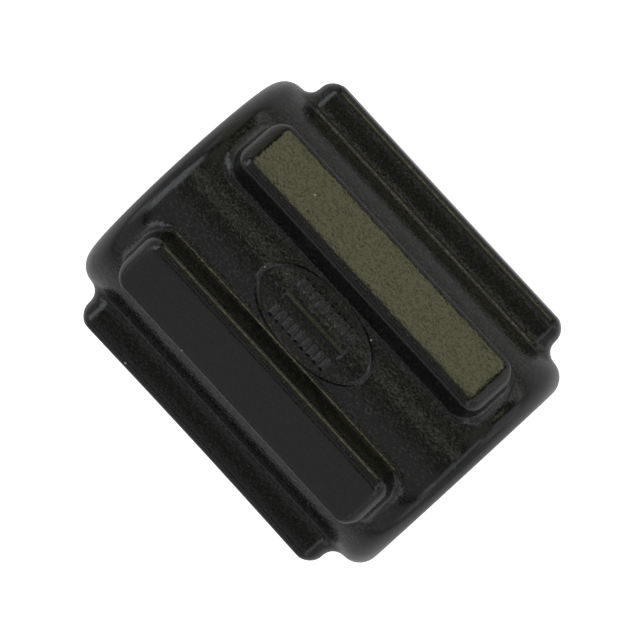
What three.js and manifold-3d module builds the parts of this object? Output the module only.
// A 1/2-14 NPT pipe coupling, female at both ends, moulded in one piece.
// Millimetres. X runs along the bore, +Z is the marked side, and the origin is the middle of the bore.

import * as THREE from 'three';
import { mergeVertices } from 'three/addons/utils/BufferGeometryUtils.js';
import Module from 'manifold-3d';

const wasm = await Module();
wasm.setup();

const DEGREE = Math.PI / 180;

// Barrel
const LENGTH = 46.0; // from end face to end face
const BARREL_RADIUS = 15.75;
const END_FILLET = 2.5; // rounds the barrel into each end face
const BARREL_SIDES = 60;
const FILLET_STEPS = 3; // getPoints takes twice as many steps round an arc

// Wrench lugs
const LUG_COUNT = 6;
const LUG_START = 30 * DEGREE; // the first lug's turn from +Z, so the badge sits between two lugs
const LUG_TOP = 19.35; // from the bore's axis to a lug's flat top
const LUG_LENGTH = 38.0;
const LUG_WIDTH = 7.9;
const LUG_CORNER = 2.2; // the outline's corner radius, seen from above
const LUG_SIDE_ROUND = 1.05; // top rounding along the long edges
const LUG_END_ROUND = 1.95; // top rounding over the short ends
const LUG_SIDE_ROOT = 0.6; // root fillet along the long edges
const LUG_END_ROOT = 1.8; // root fillet at the short ends
const LUG_ROOT_START = 20 * DEGREE; // the fillet starts this steep, so it meets the barrel in a clean line
const LUG_BURIED = 1.5; // how far a lug reaches into the barrel wall
const CORNER_STEPS = 3;
const ROUND_STEPS = 3;
const ROOT_STEPS = 2;

// Thread, 1/2-14 NPT
const PITCH = 25.4 / 14;
const TAPER = 1 / 32; // radius lost per length, which is 1 in 16 on the diameter
const MINOR_RADIUS = 9.16; // at the end face
const THREAD_HEIGHT = 1.45;
const CREST_FLAT = 0.22;
const ROOT_FLAT = 0.2;
const THREAD_DEPTH = 16.3; // from the end face to where the groove begins
const RUNOUT = 0.9; // the groove deepens over this length
const THREAD_SIDES = 32;

// Bore
const MOUTH_RADIUS = 10.9; // the lead-in chamfer at the end face, at 45 degrees
const CHAMFER_DEPTH = 1.9;
const SOCKET_RADIUS = 8.5; // past the thread
const SOCKET_DEPTH = 19.0; // from the end face to the stop ring
const STOP_RADIUS = 7.5;
const STOP_CHAMFER = 0.5;

// Badge: a plain oval rim round a two-way arrow between two rows of upright bars
const BADGE_LENGTH = 16.4;
const BADGE_WIDTH = 8.4;
const BADGE_RIM = 0.35;
const BADGE_RISE = 0.2;
const BADGE_BURIED = 0.4;
const OVAL_STEPS = 18;
const ARROW_LENGTH = 12.0;
const ARROW_HEAD = 1.5;
const ARROW_HEAD_WIDTH = 1.5;
const ARROW_SHAFT_WIDTH = 0.4;
const BAR_ROW = 2.1; // from the badge's middle line to the middle of a row of bars
const BAR_COUNT = 9;
const BAR_SPACING = 1.0;
const BAR_LENGTH = 1.3;
const BAR_WIDTH = 0.4;

function toSolid(geometry) {
  const bare = geometry.clone();
  bare.deleteAttribute('normal');
  bare.deleteAttribute('uv');
  const merged = mergeVertices(bare, 1e-5);
  const triVerts = [];
  const corners = merged.index.array;
  for (let i = 0; i < corners.length; i += 3) {
    const [a, b, c] = corners.slice(i, i + 3);
    const hasArea = a !== b && b !== c && c !== a; // rows that run together leave empty triangles
    if (hasArea) triVerts.push(a, b, c);
  }
  const vertProperties = new Float32Array(merged.attributes.position.array);
  return new wasm.Manifold(new wasm.Mesh({ numProp: 3, vertProperties, triVerts: new Uint32Array(triVerts) }));
}

function toGeometry(solid) {
  const { vertProperties, triVerts } = solid.getMesh();
  const geometry = new THREE.BufferGeometry();
  geometry.setAttribute('position', new THREE.BufferAttribute(vertProperties, 3));
  geometry.setIndex(new THREE.BufferAttribute(triVerts, 1));
  geometry.computeVertexNormals();
  return geometry;
}

// Moves every vertex of a geometry by a rule that changes the point, given its place in the list.
function reshape(geometry, rule) {
  const position = geometry.attributes.position;
  const point = new THREE.Vector3();
  for (let i = 0; i < position.count; i++) {
    rule(point.fromBufferAttribute(position, i), i);
    position.setXYZ(i, point.x, point.y, point.z);
  }
  return geometry;
}

// Revolves a path of (radius, place along the bore) points about the X axis.
function revolve(path, sides) {
  const geometry = new THREE.LatheGeometry(path.getPoints(FILLET_STEPS), sides);
  return toSolid(geometry.rotateZ(-90 * DEGREE));
}

function makeBarrel() {
  const end = LENGTH / 2;
  const rim = BARREL_RADIUS - END_FILLET;
  const outline = new THREE.Path();
  outline.moveTo(0, -end);
  outline.lineTo(rim, -end);
  outline.absarc(rim, -end + END_FILLET, END_FILLET, -90 * DEGREE, 0);
  outline.absarc(rim, end - END_FILLET, END_FILLET, 0, 90 * DEGREE);
  outline.lineTo(0, end);
  return revolve(outline, BARREL_SIDES);
}

// The open way through the middle, with the stop ring, and a chamfer at each mouth.
function makeBore() {
  const end = LENGTH / 2;
  const past = 1; // runs past the end faces, so the cut is clean
  const shoulder = end - SOCKET_DEPTH;
  const half = [
    [STOP_RADIUS, shoulder - STOP_CHAMFER],
    [STOP_RADIUS + STOP_CHAMFER, shoulder],
    [SOCKET_RADIUS, shoulder],
    [SOCKET_RADIUS, end - CHAMFER_DEPTH],
    [MOUTH_RADIUS - CHAMFER_DEPTH, end - CHAMFER_DEPTH],
    [MOUTH_RADIUS + past, end + past],
  ];
  const outline = new THREE.Path();
  outline.moveTo(0, -end - past);
  for (const [radius, along] of half.toReversed()) outline.lineTo(radius, -along);
  for (const [radius, along] of half) outline.lineTo(radius, along);
  outline.lineTo(0, end + past);
  return revolve(outline, THREAD_SIDES);
}

// The solid that fills the threaded bore at the +X end, like a tap. Its rows follow the thread, a pitch
// further on with each turn, so a lathe's rows move along the bore in step with the angle. The rows
// that would pass either end of the thread stop there, in one plain ring.
function makeTap() {
  const inner = LENGTH / 2 - THREAD_DEPTH;
  const outer = LENGTH / 2 + PITCH;
  const flank = (PITCH - CREST_FLAT - ROOT_FLAT) / 2;
  const section = [
    [0, 0],
    [CREST_FLAT, 0],
    [CREST_FLAT + flank, THREAD_HEIGHT],
    [PITCH - flank, THREAD_HEIGHT],
  ];
  const turns = Math.ceil((outer - inner) / PITCH) + 2;
  const rows = [new THREE.Vector2(0, inner)];
  for (let turn = -1; turn < turns; turn++) {
    for (const [along, rise] of section) rows.push(new THREE.Vector2(rise, inner + turn * PITCH + along));
  }
  rows.push(new THREE.Vector2(0, outer));
  const geometry = new THREE.LatheGeometry(rows, THREAD_SIDES);
  return toSolid(
    reshape(geometry, (p, index) => {
      const turn = Math.floor(index / rows.length) / THREAD_SIDES;
      const row = index % rows.length;
      const onAxis = row === 0 || row === rows.length - 1;
      const along = onAxis ? rows[row].y : THREE.MathUtils.clamp(rows[row].y + turn * PITCH, inner, outer);
      const fade = THREE.MathUtils.clamp(Math.min(along - inner, outer - along) / RUNOUT, 0, 1);
      const minor = MINOR_RADIUS - TAPER * (LENGTH / 2 - along);
      const radius = onAxis ? 0 : minor + rows[row].x * fade;
      const angle = (turn % 1) * 360 * DEGREE;
      p.set(along, -radius * Math.sin(angle), radius * Math.cos(angle));
    }),
  );
}

function roundedRectangle(length, width, corner) {
  const x = length / 2 - corner;
  const y = width / 2 - corner;
  const shape = new THREE.Shape();
  shape.moveTo(-x, -y - corner);
  shape.absarc(x, -y, corner, -90 * DEGREE, 0);
  shape.absarc(x, y, corner, 0, 90 * DEGREE);
  shape.absarc(-x, y, corner, 90 * DEGREE, 180 * DEGREE);
  shape.absarc(-x, -y, corner, 180 * DEGREE, 270 * DEGREE);
  return shape;
}

function barrelHeight(y) {
  return Math.sqrt(BARREL_RADIUS ** 2 - y ** 2);
}

// One lug on the +Z side. The extrusion's steps become levels: a buried base, the root fillet
// from the barrel up to the wall, then the top rounding up to the flat.
function makeLug() {
  const levels = 1 + ROOT_STEPS + ROUND_STEPS + 1;
  const shape = roundedRectangle(LUG_LENGTH, LUG_WIDTH, LUG_CORNER);
  const geometry = new THREE.ExtrudeGeometry(shape, {
    depth: levels,
    steps: levels,
    curveSegments: CORNER_STEPS,
    bevelEnabled: false,
  });
  const coreX = LUG_LENGTH / 2 - LUG_CORNER;
  const coreY = LUG_WIDTH / 2 - LUG_CORNER;
  return toSolid(
    reshape(geometry, (p) => {
      const level = Math.round(p.z);
      const towardEnd = (p.x - THREE.MathUtils.clamp(p.x, -coreX, coreX)) / LUG_CORNER;
      const towardSide = (p.y - THREE.MathUtils.clamp(p.y, -coreY, coreY)) / LUG_CORNER;
      let grow;
      let height;
      if (level <= 1 + ROOT_STEPS) {
        const share = Math.max(0, level - 1) / ROOT_STEPS;
        const turn = THREE.MathUtils.lerp(LUG_ROOT_START, 90 * DEGREE, share);
        const root = THREE.MathUtils.lerp(LUG_SIDE_ROOT, LUG_END_ROOT, towardEnd ** 2);
        grow = root * (1 - Math.sin(turn));
        const y = p.y + towardSide * grow;
        const rise = level === 0 ? -LUG_BURIED : root * (1 - Math.cos(turn));
        height = barrelHeight(y) + rise;
      } else {
        const turn = ((level - 2 - ROOT_STEPS) / ROUND_STEPS) * 90 * DEGREE;
        const round = THREE.MathUtils.lerp(LUG_SIDE_ROUND, LUG_END_ROUND, towardEnd ** 2);
        grow = -round * (1 - Math.cos(turn));
        height = LUG_TOP - round * (1 - Math.sin(turn));
      }
      p.set(p.x + towardEnd * grow, p.y + towardSide * grow, height);
    }),
  );
}

// Lays a flat shape on the barrel's +Z side as low relief.
function makeRelief(shape) {
  const depth = BADGE_BURIED + BADGE_RISE;
  const geometry = new THREE.ExtrudeGeometry(shape, { depth, bevelEnabled: false, curveSegments: OVAL_STEPS });
  return toSolid(
    reshape(geometry, (p) => {
      p.z += barrelHeight(p.y) - BADGE_BURIED;
    }),
  );
}

function makeBadge() {
  const rim = new THREE.Shape();
  rim.absellipse(0, 0, BADGE_LENGTH / 2, BADGE_WIDTH / 2, 0, 360 * DEGREE);
  const inside = new THREE.Path();
  inside.absellipse(0, 0, BADGE_LENGTH / 2 - BADGE_RIM, BADGE_WIDTH / 2 - BADGE_RIM, 0, 360 * DEGREE);
  rim.holes.push(inside);

  const tip = ARROW_LENGTH / 2;
  const neck = tip - ARROW_HEAD;
  const barb = ARROW_HEAD_WIDTH / 2;
  const shaft = ARROW_SHAFT_WIDTH / 2;
  const upper = [[neck, barb], [neck, shaft], [-neck, shaft], [-neck, barb]];
  const lower = upper.map(([x, y]) => [-x, -y]);
  const corners = [[tip, 0], ...upper, [-tip, 0], ...lower];
  const arrow = new THREE.Shape(corners.map(([x, y]) => new THREE.Vector2(x, y)));

  const reliefs = [makeRelief(rim), makeRelief(arrow)];
  for (const row of [-BAR_ROW, BAR_ROW]) {
    for (let i = 0; i < BAR_COUNT; i++) {
      const x = (i - (BAR_COUNT - 1) / 2) * BAR_SPACING;
      const bar = new THREE.Shape([
        new THREE.Vector2(x - BAR_WIDTH / 2, row - BAR_LENGTH / 2),
        new THREE.Vector2(x + BAR_WIDTH / 2, row - BAR_LENGTH / 2),
        new THREE.Vector2(x + BAR_WIDTH / 2, row + BAR_LENGTH / 2),
        new THREE.Vector2(x - BAR_WIDTH / 2, row + BAR_LENGTH / 2),
      ]);
      reliefs.push(makeRelief(bar));
    }
  }
  return reliefs;
}

function makeCoupling() {
  let solid = makeBarrel();
  const lug = makeLug();
  for (let i = 0; i < LUG_COUNT; i++) {
    const turn = LUG_START / DEGREE + (i * 360) / LUG_COUNT;
    solid = solid.add(lug.rotate([turn, 0, 0]));
  }
  for (const relief of makeBadge()) solid = solid.add(relief);
  const tap = makeTap();
  return solid.subtract(makeBore()).subtract(tap).subtract(tap.rotate([0, 0, 180]));
}

const blackPolypropylene = new THREE.MeshStandardMaterial({ color: 0x1b1b1a, roughness: 0.45, metalness: 0 });

const coupling = new THREE.Mesh(toGeometry(makeCoupling()), blackPolypropylene);
coupling.name = 'coupling_body';

const group = new THREE.Group();
group.add(coupling);

export default group;
